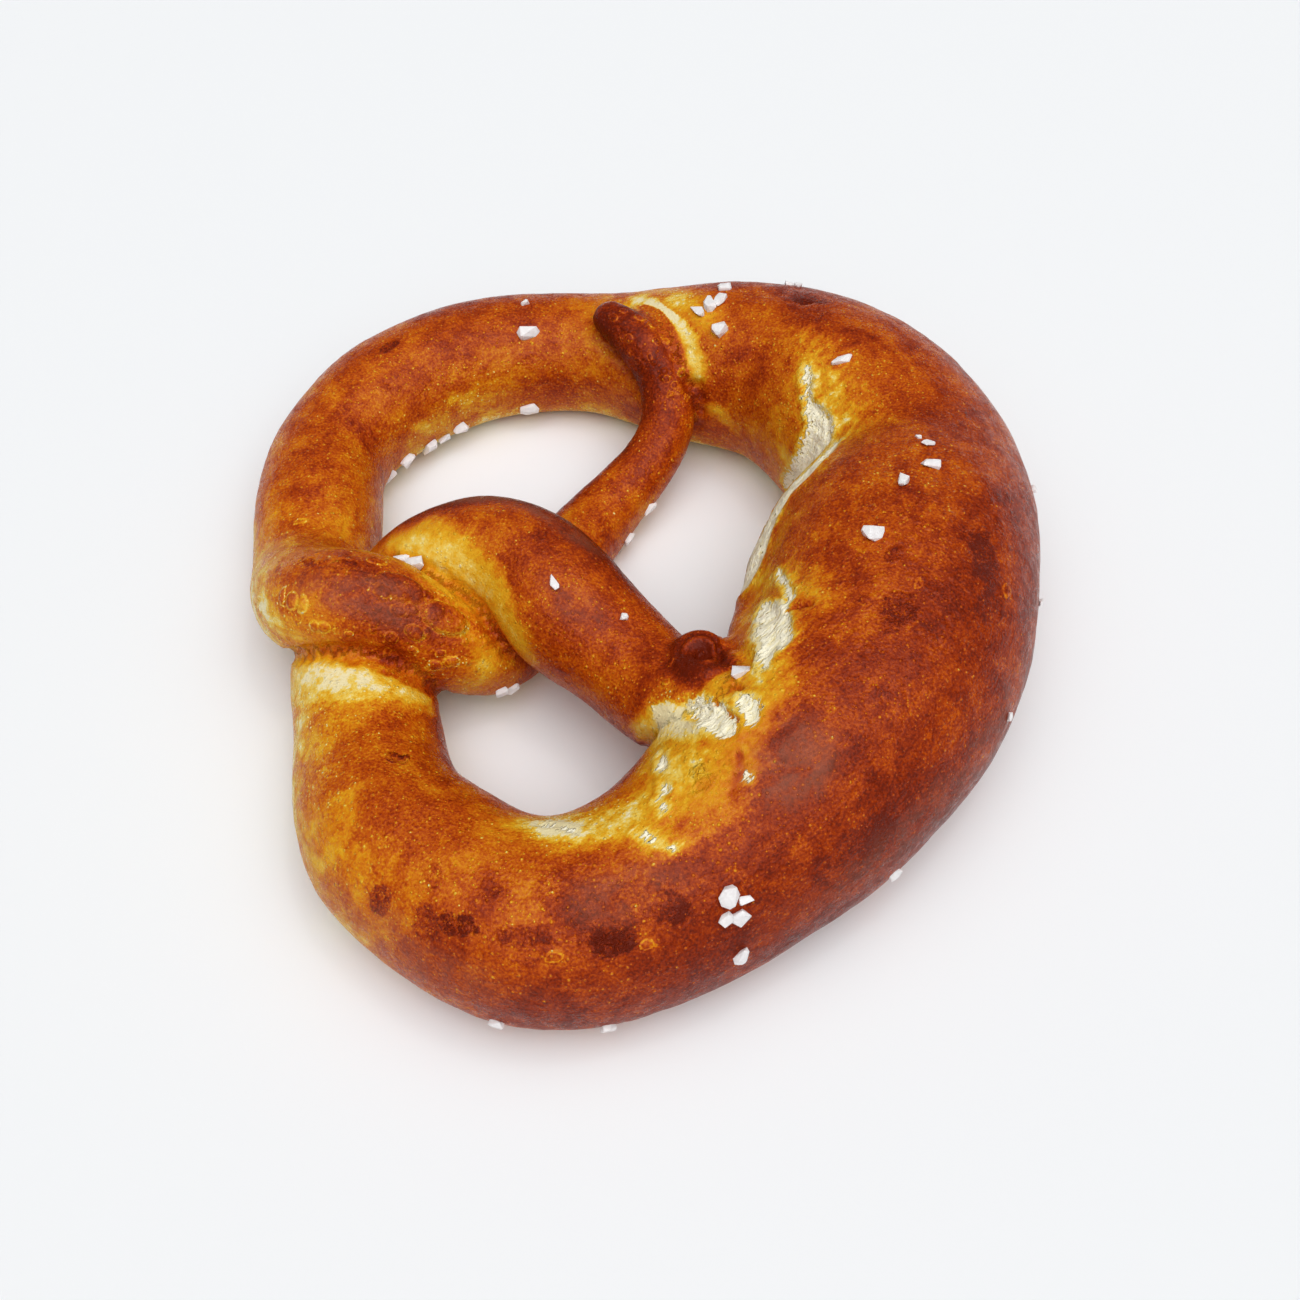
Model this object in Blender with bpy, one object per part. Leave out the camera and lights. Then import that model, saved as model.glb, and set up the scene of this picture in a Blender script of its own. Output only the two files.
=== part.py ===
"""A soft pretzel, made of one rope of dough with a thick belly and two thinner arms.

The arms leave the belly, cross twice at the left of the ring and come back over it. The thin tip lies on
the far arm, and the blunt tip sinks into the belly's inner side, where its end curls up into a small knob.
Metres, +Z up. The pretzel rests on z = 0, and its box is centred on the origin.
"""

import bmesh
import bpy
import numpy as np

MM = 0.001

# A section of the rope is half an ellipse above its centre, and a flatter and squarer half below it.
CROWN = 0.95  # height of the upper half, as a share of the half width
SAG = 0.75  # depth of the lower half, as a share of the half width
BASE_SQUARENESS = 2.6  # exponent of the lower half: 2 is an ellipse, and more is squarer
BAKED_FLAT = 0.7  # mm of the lower half that the tray pressed flat

RING_CORNERS = 32
RING_STEP = 2.0  # mm along the rope
CAP_RINGS = 5  # rings in each rounded end

JOINING_CELL = 1.4 * MM  # cell size of the remesh that joins the crossing strands into one body
SMOOTHING_FACTOR = 0.5  # how far each round moves a corner towards its neighbours' middle
SMOOTHING_ROUNDS = 4
KEPT_FACES = 0.13  # share of the remeshed faces that the finished solid keeps

TRAY = (400 * MM, 400 * MM, 20 * MM)  # the slab that cuts the base flat

CRUST_COLOR = (0.40, 0.10, 0.02, 1.0)
CRUST_ROUGHNESS = 0.42

# The route of the rope, from the thin tip to the blunt one.
# Each row holds x, y, the lift off the tray and the rope's half width, in mm.
THIN_STRAND = [
    (-5, 56, 19, 3.6),
    (0.5, 50.5, 17, 4.8),
    (4.5, 45.5, 13, 5.2),
    (4.5, 37, 8, 5),
    (-3.5, 26.5, 2, 5.8),
    (-14, 9.5, 0, 7.4),
]
LOWER_CROSSING = [
    (-25.5, -10, 4, 7.6),
    (-40.5, -9, 13, 8.6),
    (-47.5, -8, 13, 8.8),
]
FAR_ARM = [
    (-54, 4.5, 2, 10.2),
    (-55, 19, 0, 11.2),
    (-55, 33.5, 0, 10.8),
    (-47.5, 47.5, 0, 11.6),
    (-18.5, 62, 0, 11.4),
    (-3, 60.5, 0, 12.2),
    (9.5, 56.5, 0, 14.8),
]
BELLY = [
    (24.5, 52, 0, 16.6),
    (39, 38.5, 0, 18.8),
    (46.5, 18.5, 0, 19.6),
    (41.5, -0.5, 0, 22.6),
    (37.5, -16, 0, 22.2),
    (18, -42, 0, 19.2),
]
NEAR_ARM = [
    (6, -52, 0, 16.4),
    (-15.5, -58, 0, 15),
    (-27, -52, 0, 14.4),
    (-35.5, -44, 0, 13.6),
    (-40, -32.5, 0, 12.2),
    (-42.5, -20.5, 0, 11.6),
    (-44, -10, 0, 11),
]
UPPER_CROSSING = [
    (-40.5, -2.5, 2, 9.6),
    (-35, 2, 7, 9.2),
    (-22.5, 2.5, 12, 9.6),
    (-16, -2, 12, 10),
    (-12, -7, 10.5, 10.6),
]
BLUNT_STRAND = [
    (-3, -15.5, 9.5, 9.4),
    (6.5, -26, 12, 8.8),
    (11.5, -29.5, 16, 8.2),
    (16, -32, 19, 7.6),
]
ROPE = THIN_STRAND + LOWER_CROSSING + FAR_ARM + BELLY + NEAR_ARM + UPPER_CROSSING + BLUNT_STRAND

# The curled end of the blunt tip, which rises out of the strand.
KNOB = [
    (5.5, -25.5, 11, 6.2),
    (7.2, -23, 16, 5.4),
    (8.5, -21, 20, 4.6),
]


def spline(rows, places):
    """A natural cubic spline through the rows, read at places that count along them from 0 to 1."""
    rows = np.array(rows, float)
    gaps = np.linalg.norm(np.diff(rows[:, :3], axis=0), axis=1)
    knots = np.concatenate([[0.0], np.cumsum(gaps)])
    system = np.eye(len(rows))
    slopes = np.diff(rows, axis=0) / gaps[:, None]
    bends = np.zeros_like(rows)
    for i in range(1, len(rows) - 1):
        system[i, i - 1 : i + 2] = gaps[i - 1], 2 * (gaps[i - 1] + gaps[i]), gaps[i]
        bends[i] = 6 * (slopes[i] - slopes[i - 1])
    bends = np.linalg.solve(system, bends)
    at = places * knots[-1]
    i = np.clip(np.searchsorted(knots, at, side="right") - 1, 0, len(gaps) - 1)
    gap = gaps[i][:, None]
    after = (at - knots[i])[:, None]
    before = gap - after
    return (
        (bends[i] * before**3 + bends[i + 1] * after**3) / (6 * gap)
        + (rows[i] / gap - bends[i] * gap / 6) * before
        + (rows[i + 1] / gap - bends[i + 1] * gap / 6) * after
    )


def section(half_width):
    """The outline of one section, as offsets to the side and upwards."""
    angles = np.linspace(0, 2 * np.pi, RING_CORNERS, endpoint=False)
    side = np.cos(angles)
    up = np.sin(angles)
    power = 2 / BASE_SQUARENESS
    low_side = np.sign(side) * np.abs(side) ** power
    low_up = -np.abs(up) ** power
    above = up >= 0
    depth = SAG * half_width + BAKED_FLAT
    across = half_width * np.where(above, side, low_side)
    height = np.where(above, CROWN * half_width * up, depth * low_up)
    return across, height


def rope_rings(rows):
    """The rings of a rope along its rows, in mm, with a rounded cap at each end."""
    centres = [(x, y, SAG * half_width + lift, half_width) for x, y, lift, half_width in rows]
    length = sum(np.linalg.norm(np.subtract(a, b)[:3]) for a, b in zip(centres, centres[1:]))
    path = spline(centres, np.linspace(0, 1, int(length / RING_STEP) + 1))
    along = np.gradient(path[:, :3], axis=0)
    along /= np.linalg.norm(along, axis=1)[:, None]
    turns = np.arange(CAP_RINGS, 0, -1) * (np.pi / 2 / (CAP_RINGS + 1))
    stations = [(path[0], along[0], -np.sin(turn), np.cos(turn)) for turn in turns]
    stations += [(row, way, 0.0, 1.0) for row, way in zip(path, along)]
    stations += [(path[-1], along[-1], np.sin(turn), np.cos(turn)) for turn in turns[::-1]]
    rings = []
    for row, way, push, share in stations:
        side = np.cross(way, (0, 0, 1))
        side /= np.linalg.norm(side)
        up = np.cross(side, way)
        across, height = section(row[3])
        centre = row[:3] + way * push * row[3]
        rings.append(centre + share * (across[:, None] * side + height[:, None] * up))
    return rings


def add_rope(mesh, rows):
    """Adds the closed skin of a rope to the mesh."""
    rings = [[mesh.verts.new(point * MM) for point in ring] for ring in rope_rings(rows)]
    for ring, following in zip(rings, rings[1:]):
        for i in range(RING_CORNERS):
            j = (i + 1) % RING_CORNERS
            mesh.faces.new((ring[i], ring[j], following[j], following[i]))
    mesh.faces.new(rings[0][::-1])
    mesh.faces.new(rings[-1])


def crust_material():
    material = bpy.data.materials.new("crust")
    material.use_nodes = True
    shader = material.node_tree.nodes["Principled BSDF"]
    shader.inputs["Base Color"].default_value = CRUST_COLOR
    shader.inputs["Roughness"].default_value = CRUST_ROUGHNESS
    shader.inputs["Metallic"].default_value = 0.0
    return material


def tray_cutter():
    """A slab under z = 0, which leaves the base flat where the pretzel lay on its tray."""
    mesh = bmesh.new()
    bmesh.ops.create_cube(mesh, size=1.0)
    bmesh.ops.scale(mesh, vec=TRAY, verts=mesh.verts)
    bmesh.ops.translate(mesh, vec=(0, 0, -TRAY[2] / 2), verts=mesh.verts)
    data = bpy.data.meshes.new("tray_cutter")
    mesh.to_mesh(data)
    mesh.free()
    cutter = bpy.data.objects.new("tray_cutter", data)
    cutter.hide_render = True
    cutter.display_type = "WIRE"
    bpy.context.scene.collection.objects.link(cutter)
    return cutter


def pretzel():
    mesh = bmesh.new()
    add_rope(mesh, ROPE)
    add_rope(mesh, KNOB)
    bmesh.ops.recalc_face_normals(mesh, faces=mesh.faces)
    data = bpy.data.meshes.new("pretzel")
    mesh.to_mesh(data)
    mesh.free()
    data.materials.append(crust_material())
    body = bpy.data.objects.new("pretzel", data)
    bpy.context.scene.collection.objects.link(body)

    join = body.modifiers.new("join strands", "REMESH")
    join.mode = "VOXEL"
    join.voxel_size = JOINING_CELL
    join.use_smooth_shade = True
    soften = body.modifiers.new("soften creases", "SMOOTH")
    soften.factor = SMOOTHING_FACTOR
    soften.iterations = SMOOTHING_ROUNDS
    thin_out = body.modifiers.new("thin out faces", "DECIMATE")
    thin_out.ratio = KEPT_FACES
    base = body.modifiers.new("flat base", "BOOLEAN")
    base.operation = "DIFFERENCE"
    base.solver = "EXACT"
    base.object = tray_cutter()
    return body


for old in list(bpy.data.objects):
    bpy.data.objects.remove(old)
pretzel()
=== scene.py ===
"""The looks of the soft pretzel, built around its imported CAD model."""

import itertools

import bmesh
import bpy
import numpy as np
from mathutils import Matrix, Vector
from mathutils.bvhtree import BVHTree


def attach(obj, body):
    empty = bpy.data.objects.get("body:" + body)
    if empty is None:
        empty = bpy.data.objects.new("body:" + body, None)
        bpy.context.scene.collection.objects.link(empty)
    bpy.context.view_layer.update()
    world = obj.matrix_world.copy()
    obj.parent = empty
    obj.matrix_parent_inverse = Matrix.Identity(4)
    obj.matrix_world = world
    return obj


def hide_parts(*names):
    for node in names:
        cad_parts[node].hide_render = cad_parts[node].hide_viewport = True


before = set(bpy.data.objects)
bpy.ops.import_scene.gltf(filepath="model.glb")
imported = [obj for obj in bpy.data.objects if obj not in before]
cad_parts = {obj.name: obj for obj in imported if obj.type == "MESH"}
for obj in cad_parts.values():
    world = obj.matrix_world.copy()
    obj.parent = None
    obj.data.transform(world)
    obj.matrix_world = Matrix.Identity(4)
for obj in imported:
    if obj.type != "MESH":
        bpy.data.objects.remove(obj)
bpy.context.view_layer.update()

MM = 0.001

# The rope's section and route, in mm, as the CAD model has them. A section is half an ellipse above its
# centre, and a flatter and squarer half below it. Each row of the route holds x, y, the lift off the tray
# and the rope's half width, from the thin tip to the blunt one.
CROWN = 0.95
SAG = 0.75
BASE_SQUARENESS = 2.6
BAKED_FLAT = 0.7
THIN_STRAND = [
    (-5, 56, 19, 3.6),
    (0.5, 50.5, 17, 4.8),
    (4.5, 45.5, 13, 5.2),
    (4.5, 37, 8, 5),
    (-3.5, 26.5, 2, 5.8),
    (-14, 9.5, 0, 7.4),
]
LOWER_CROSSING = [
    (-25.5, -10, 4, 7.6),
    (-40.5, -9, 13, 8.6),
    (-47.5, -8, 13, 8.8),
]
FAR_ARM = [
    (-54, 4.5, 2, 10.2),
    (-55, 19, 0, 11.2),
    (-55, 33.5, 0, 10.8),
    (-47.5, 47.5, 0, 11.6),
    (-18.5, 62, 0, 11.4),
    (-3, 60.5, 0, 12.2),
    (9.5, 56.5, 0, 14.8),
]
BELLY = [
    (24.5, 52, 0, 16.6),
    (39, 38.5, 0, 18.8),
    (46.5, 18.5, 0, 19.6),
    (41.5, -0.5, 0, 22.6),
    (37.5, -16, 0, 22.2),
    (18, -42, 0, 19.2),
]
NEAR_ARM = [
    (6, -52, 0, 16.4),
    (-15.5, -58, 0, 15),
    (-27, -52, 0, 14.4),
    (-35.5, -44, 0, 13.6),
    (-40, -32.5, 0, 12.2),
    (-42.5, -20.5, 0, 11.6),
    (-44, -10, 0, 11),
]
UPPER_CROSSING = [
    (-40.5, -2.5, 2, 9.6),
    (-35, 2, 7, 9.2),
    (-22.5, 2.5, 12, 9.6),
    (-16, -2, 12, 10),
    (-12, -7, 10.5, 10.6),
]
BLUNT_STRAND = [
    (-3, -15.5, 9.5, 9.4),
    (6.5, -26, 12, 8.8),
    (11.5, -29.5, 16, 8.2),
    (16, -32, 19, 7.6),
]
ROPE = THIN_STRAND + LOWER_CROSSING + FAR_ARM + BELLY + NEAR_ARM + UPPER_CROSSING + BLUNT_STRAND
# The curled end, a little stouter than the CAD model's.
KNOB = [
    (5.5, -25.5, 11, 6.2),
    (7.4, -23.5, 15.5, 5.6),
    (9.6, -22.3, 18.6, 5.5),
]

# How brown the crust is, from 0 for bare dough through orange at a half to 1 for burnt: mm along the rope,
# then the side that faces the ring's inside, the top, the outer side and the underside.
BROWNING = [
    (0, 1, 0.72, 0.72, 0.6),
    (14, 0.86, 0.84, 0.72, 0.55),
    (22, 0.76, 0.6, 0.5, 0.5),
    (45, 0.78, 0.52, 0.46, 0.5),
    (60, 0.68, 0.46, 0.5, 0.45),
    (82, 0.25, 0.2, 0.44, 0.35),
    (92, 0.3, 0.52, 0.66, 0.35),
    (104, 0.2, 0.52, 0.42, 0.35),
    (114, 0.2, 0.44, 0.12, 0.35),
    (125, 0.25, 0.42, 0.18, 0.4),
    (145, 0.46, 0.52, 0.24, 0.45),
    (175, 0.4, 0.53, 0.62, 0.45),
    (205, 0.5, 0.54, 0.68, 0.45),
    (225, 0.5, 0.34, 0.72, 0.45),
    (240, 0.46, 0.56, 0.72, 0.45),
    (256, 0.44, 0.63, 0.6, 0.45),
    (280, 0.2, 0.6, 0.6, 0.5),
    (310, 0.3, 0.64, 0.74, 0.5),
    (340, 0.4, 0.63, 0.8, 0.5),
    (360, 0.4, 0.64, 0.84, 0.5),
    (380, 0.4, 0.56, 0.8, 0.5),
    (400, 0.34, 0.47, 0.7, 0.45),
    (420, 0.56, 0.43, 0.17, 0.4),
    (440, 0.56, 0.48, 0.16, 0.3),
    (455, 0.56, 0.4, 0.14, 0.3),
    (474, 0.2, 0.2, 0.4, 0.3),
    (485, 0.4, 0.52, 0.94, 0.4),
    (500, 0.44, 0.56, 0.92, 0.45),
    (520, 0.56, 0.7, 0.78, 0.45),
    (535, 0.5, 0.56, 0.6, 0.4),
    (545, 0.2, 0.4, 0.2, 0.3),
]
# Burnt spots with ragged edges: mm along, degrees around, half length, half width, how much browner.
SCORCHES = [
    (177, 90, 2.4, 1.3, 0.3),
    (170, 62, 1.4, 1.1, 0.15),
    (255.5, 97.5, 2.2, 1, 1.2),
    (254, 103, 5.5, 2.2, 0.12),
    (333, 97, 3.4, 2.6, 0.24),
    (320, 122, 3.4, 2.6, 0.26),
    (326, 131, 3.6, 2.4, 0.1),
    (358, 153, 5.5, 3.5, 0.12),
    (324, 86, 1.6, 1.2, 0.16),
    (382, 130, 1.6, 1.8, 0.34),
    (389.6, 131, 2.8, 1.8, 0.44),
    (387, 119, 7, 3.6, 0.14),
    (394, 104, 3.6, 3.6, 0.12),
    (398, 127, 3, 1.4, 0.18),
    (402, 103, 1.3, 1.8, 0.13),
    (404.5, 127, 1.9, 1.7, 0.4),
    (407.6, 134, 2.2, 2, 0.22),
    (409, 110, 1.6, 1.8, 0.15),
    (414.5, 141, 1.6, 2.3, 0.28),
    (429, 74, 1.5, 1.1, 0.36),
    (428, 67, 1.4, 1.1, 0.42),
    (368, 77, 1.1, 1.4, 0.5),
    (369, 84, 2.2, 1.2, 0.25),
    (499, 91, 1.8, 1.6, 0.14),
    (109, 86, 1.3, 0.9, 0.22),
    (106, 84, 1.7, 1.1, 0.2),
    (113, 111, 1, 0.8, 0.18),
    (101, 112, 7, 4.5, 0.1),
    (4, 80, 4.5, 3, 0.08),
]
# Spots where it is browner or paler all over, in the same terms.
TONES = [
    (118, 130, 10, 9, -0.12),
    (160, 120, 12, 5, -0.05),
    (188, 30, 12, 3, -0.06),
    (180, 4, 14, 2.5, -0.12),
    (211, 95, 7, 4, 0.06),
    (45, 48, 8, 2.5, 0.15),
    (10, 118, 9, 4, -0.08),
    (362, 88, 9, 5, 0.14),
    (345, 48, 8, 4, -0.1),
    (375, 30, 8, 3, 0.12),
    (395, 42, 9, 4, -0.08),
    (484, 126, 9, 3.5, 0.26),
    (102, 112, 9, 5, 0.07),
    (536.5, 96, 3, 2.5, 0.12),
    (97, 100, 3, 2.2, 0.08),
    (330, 122, 14, 8, 0.06),
    (300, 130, 14, 6, 0.05),
    (502, 140, 13, 4, 0.18),
    (228, 95, 9, 7, -0.14),
    (250, 72, 7, 4, -0.08),
    (388, 62, 10, 5, -0.12),
    (396, 50, 8, 4, -0.12),
    (440, 120, 14, 9, -0.1),
    (448, 60, 8, 6, -0.08),
    (492, 125, 9, 5, 0.1),
    (88, 165, 6, 4, -0.1),
    (78, 140, 5, 6, 0.12),
    (538, 50, 5, 4, -0.2),
]
# Spots where the skin is matt and pinkish, partly its own bloom and partly a painted sheen along the lower
# outer flanks: mm along, degrees around, half length, half width, and how much.
DULL_AND_SHEEN_SPOTS = [
    (359, 104, 6, 6, 0.4),
    (386, 112, 7, 4, 0.25),
    (335, 168, 34, 5, 0.18),
    (412, 158, 14, 4, 0.2),
    (494, 128, 10, 3, 0.4),
    (102, 118, 8, 4, 0.3),
    (510, 72, 6, 3, 0.2),
]
# Spots full of small blisters, in the same terms.
BUBBLY_SPOTS = [
    (95, 138, 9, 8, 0.6),
    (97, 95, 8, 6, 0.4),
    (106, 60, 7, 4, 0.5),
    (10, 105, 10, 4, 0.9),
    (8, 50, 9, 3, 0.4),
    (322, 100, 26, 14, 0.35),
    (535, 80, 6, 3, 0.3),
]
# Torn places where the white crumb shows: bands through x, y, z, with their half widths in mm.
TEARS = [
    [
        (28.3, 36, 28.7, 0.2), (28.2, 33.5, 28, 0.8), (28.2, 30.5, 26.5, 0.4), (28.8, 28.3, 26, 1.2),
        (29.8, 25.2, 25.8, 2.2), (29.4, 23.5, 24.6, 3), (28.2, 22.6, 22.5, 2.6), (27.2, 22.2, 19, 2.1),
        (26.4, 22.6, 15.2, 2), (25.4, 24.7, 11, 1.5),
    ],
    [
        (31.5, 19, 28, 0.8), (30, 15.5, 29, 1.6), (26.2, 11.2, 27.5, 2.8), (23.6, 9.4, 25.2, 3.2),
        (21.8, 6.6, 24.4, 3.3), (20.2, 3.1, 23.2, 3.3), (18.8, -1.2, 22.4, 3.3), (17.6, -4.7, 20.6, 3.2),
    ],
    [
        (18.5, -16.5, 29, 1.4), (19.4, -19.5, 31, 2.4), (19.7, -22.5, 32, 2.7), (20, -25, 33, 2.3),
        (18.4, -27, 32.4, 1.3), (18, -30, 33, 0.5),
    ],
    [(20.8, -10, 29.7, 0.3), (21.5, -12.5, 30.8, 0.4)],
    [(21.8, -13.5, 31, 0.3), (22.3, -17, 32.6, 0.6), (21, -18.5, 32, 0.6)],
    [(8.6, -34.2, 28.6, 1.5), (10.2, -36, 30.1, 2), (11.8, -38.6, 31.3, 2), (12.7, -39.8, 31.8, 1.2)],
    [(14.7, -35.5, 32.3, 1.1), (15.9, -36.8, 32.9, 1.2), (15.8, -39, 32.9, 0.8)],
    [(3.1, -40, 26, 0.4), (3.5, -42.5, 27, 0.6)],
    [(3.6, -45.5, 27.3, 0.3), (4, -47, 27.6, 0.6)],
    [(3, -48.5, 27.2, 0.3), (3.6, -49.5, 27.4, 0.5)],
    [(14.6, -46, 31.4, 0.2), (15, -47.5, 31.2, 0.5)],
    [(-13.5, -49.2, 22.5, 0.1), (-12.4, -49.5, 22.9, 0.3), (-11, -50, 23.4, 0.1)],
    [(-10, -50.4, 23.8, 0.1), (-9, -51.2, 24.4, 0.2), (-8, -51.8, 24.8, 0.1)],
    [(0, -53.2, 26.9, 0.1), (1.5, -54, 27.1, 0.4), (3, -55, 27.2, 0.1)],
    [(4, -55.3, 27.3, 0.2), (5.2, -55.6, 27.3, 0.4)],
]
# Bands of another shade, most of them golden dough round the tears and along the creases: a level on the
# scale of browning, the raggedness of the edge in mm, and a band in the same terms as the tears.
BANDS = [
    (0.14, 3.2, [(28.3, 41, 29.6, 0.8), (29, 36.5, 29.2, 2.2), (30, 32, 28.5, 3.2), (31, 28, 27.5, 4)]),
    (0.12, 3.2, [(31, 28, 27.5, 4), (31, 23, 26.5, 4.6), (29.5, 18, 27, 4.2), (27, 12, 28, 2.6)]),
    (0.1, 1.6, [(27, 12, 28, 2.6), (22.5, 8, 25.5, 2.4), (20, 2, 23.8, 2.6), (18.5, -4, 21.5, 3)]),
    (0.16, 1.2, [(25.5, 41, 28, 0.8), (25.8, 42, 28.3, 0.6)]),
    (0.22, 2.6, [(18.5, -8, 24.5, 3.2), (20, -12.2, 29, 3.8), (24, -17, 33.5, 2.6), (26, -19, 35, 1.4)]),
    (0.12, 2.2, [(18, -15, 28, 3.2), (19.5, -19, 31, 3.8), (19, -24, 32, 3.6), (17.5, -28, 32, 3.4)]),
    (0.11, 2.2, [(17, -31, 33, 3.4), (17, -35, 33.3, 3.8), (13, -39, 31.8, 4.6)]),
    (0.02, 1.2, [(13, -38, 31.8, 3), (8, -37, 28.8, 3.4), (3.5, -35, 24.5, 3.2), (1, -33, 19, 2.4)]),
    (0.16, 1.2, [(13.3, -25.5, 29, 1.2), (12.4, -28.5, 30.4, 2.2), (11, -31.5, 30.5, 2.4)]),
    (0.11, 2, [(3, -39.5, 25.8, 3.6), (5, -44.5, 28, 4.2), (8, -45, 29.5, 4.6), (12, -44, 31.2, 4.4)]),
    (0.15, 2, [(3, -46, 27, 3.6), (8, -48, 29.2, 4.2), (11, -48.5, 30, 3)]),
    (0.17, 1.8, [(3, -50, 27, 3), (-3, -51, 25.5, 3.2), (-9, -51.3, 24.3, 3), (-13, -50.5, 23.5, 2.4)]),
    (0.2, 1.8, [(-13, -50.5, 23.5, 2.4), (-18, -49, 22.5, 1.4)]),
    (0.18, 1.4, [(0, -53, 27, 1.5), (3, -54.8, 27.2, 2.2), (6, -55, 27.5, 1.5)]),
    (0.1, 1.3, [(-38.5, 3, 22.3, 2.2), (-33.5, 0, 24.2, 4.4), (-29, -3.3, 24, 5), (-25, -6.5, 22.8, 4.4)]),
    (0.11, 1.2, [
        (-25, -6.5, 22.8, 4.4), (-21.5, -10.5, 22, 3.6), (-19, -14.5, 20, 2.6), (-18, -17, 17, 1.8),
    ]),
    (0.26, 1.4, [(-26, -13.5, 19.5, 1.6), (-23, -15, 15.5, 2.6), (-24.5, -17, 12, 3), (-28, -19.5, 8, 2.4)]),
    (0.12, 2, [(-61.5, -4, 16, 2.6), (-59, -10.5, 13.5, 4), (-54.5, -14.5, 13, 3.4), (-49, -17, 15.5, 2)]),
    (0.11, 1.6, [
        (-55.5, -18, 10, 4), (-53.5, -19, 13, 4.4), (-48.9, -21, 17.6, 4.6), (-44, -22.6, 19.4, 4),
    ]),
    (0.14, 1.6, [
        (-44, -22.6, 19.4, 4), (-40, -23.4, 19.6, 3.4), (-36, -23.8, 19, 2.4), (-32, -23, 15, 1.6),
    ]),
    (-0.02, 1.1, [
        (-1, 62, 20.5, 0.5), (4.6, 56.6, 23.6, 1.3), (6.9, 52.2, 24.2, 1.3), (8.9, 47.9, 23.4, 1.3),
    ]),
    (-0.01, 1, [(8.9, 47.9, 23.4, 1.3), (9.8, 45, 21.5, 1.2), (10.5, 42.6, 19.6, 0.9)]),
    (0.5, 0.6, [(1, 58.2, 23, 0.9), (2.5, 56.2, 24, 1.5), (4.5, 52.8, 24.8, 1.6), (6.2, 48.5, 24.2, 1.4)]),
    (0.5, 0.6, [(6.2, 48.5, 24.2, 1.4), (7.2, 45.5, 22.8, 1.1), (8, 43, 20.5, 0.4)]),
    (0.22, 1.5, [(7, 58, 24, 3.2), (11, 54, 26, 3.4), (13, 49, 26, 2.4)]),
    (0.06, 1, [(12.6, 39.7, 14.8, 0.5), (14.2, 39, 14.7, 0.8), (15.6, 38.2, 13.8, 0.4)]),
    (0.24, 0.5, [(-36.5, -36.8, 21.5, 0.3), (-35.5, -37.2, 21.6, 0.4)]),
    (0.24, 0.5, [(-33.8, -38, 21.2, 0.3), (-33, -38.2, 21, 0.5)]),
]
# Cracks in the crust and dark lines along the creases between strands, in the same terms as the tears. They
# are cut into the crust and painted darker: painted shade in them.
CRACKS = [
    [(21.4, -19.4, 32.6, 0.25), (22.9, -19.6, 33.6, 0.25), (25, -20, 34.6, 0.15)],
    [(13.6, -32, 31.3, 0.2), (14.6, -33, 31.9, 0.2)],
    [(10.7, -34, 30.2, 0.1), (13.9, -38.4, 32.1, 0.1)],
    [(-48.1, -17.3, 18.6, 0.1), (-43.4, -19.2, 19.6, 0.15), (-36.8, -20.7, 18.6, 0.2)],
    [(-36.8, -20.7, 18.6, 0.2), (-34.2, -21, 17, 0.3), (-31.8, -20.9, 14, 0.3), (-30.6, -19.1, 10.4, 0.2)],
    [(11, 42.3, 19.3, 0.1), (11.4, 41, 17.2, 0.2), (11.4, 39.9, 13.8, 0.2)],
    [(13.9, -43.7, 31.8, 0.15), (14.3, -45.8, 31.7, 0.25), (13.2, -48.5, 30.9, 0.2), (12.4, -50, 30.3, 0.1)],
]
# Blisters on the crust: mm along, degrees around, half length, half width and height in mm.
BLISTERS = [
    (99.6, 93, 3.2, 2.4, 0.9),
    (93.4, 103, 3.3, 2.6, 1.1),
    (96.5, 87, 0.8, 0.8, 0.4),
    (95.1, 74, 0.6, 0.5, 0.3),
    (96.1, 134, 1.3, 1.2, 0.7),
    (98.6, 151, 1, 1, 0.6),
    (95.2, 153, 0.7, 0.6, 0.4),
    (91.6, 159, 0.9, 0.8, 0.5),
    (90, 148, 1, 0.9, 0.5),
    (91.9, 143, 0.6, 0.6, 0.3),
    (99, 120, 1, 0.9, 0.4),
    (97.6, 112, 1, 0.8, 0.4),
    (101.6, 107, 1, 0.9, 0.4),
    (103, 97, 0.6, 0.5, 0.3),
    (103, 66, 1.2, 1, 0.4),
    (109.5, 132, 1.1, 1.5, 0.5),
    (107.2, 155, 1, 1, 0.4),
    (104.3, 160, 0.5, 0.5, 0.3),
    (98.1, 168, 0.5, 0.5, 0.2),
    (131.5, 94, 0.8, 0.7, 0.3),
    (5.2, 112, 0.9, 0.9, 0.4),
    (2.5, 98, 0.7, 0.7, 0.3),
    (2.2, 59, 0.9, 0.8, 0.3),
    (7.5, 117, 0.7, 0.6, 0.3),
    (10.5, 111, 0.6, 0.6, 0.3),
    (9.9, 91, 0.7, 0.6, 0.3),
    (11.3, 56, 0.6, 0.5, 0.3),
    (6.8, 43, 0.7, 0.9, 0.3),
    (15.9, 117, 0.7, 0.7, 0.4),
    (16.5, 81, 0.7, 0.7, 0.4),
    (17.9, 100, 0.7, 0.7, 0.4),
    (19, 111, 0.7, 0.6, 0.4),
    (19.8, 131, 0.6, 0.6, 0.3),
    (19.5, 92, 0.5, 0.5, 0.3),
    (8.3, 14, 0.6, 0.5, 0.3),
    (10.4, 24, 0.6, 0.5, 0.3),
    (323, 136, 0.8, 0.8, 0.3),
    (328, 100, 0.7, 0.7, 0.3),
    (386, 139, 0.7, 0.7, 0.3),
    (395, 136, 0.7, 0.7, 0.3),
    (534.5, 93, 0.4, 0.7, 0.3),
    (536, 69, 0.6, 0.5, 0.3),
]
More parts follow.
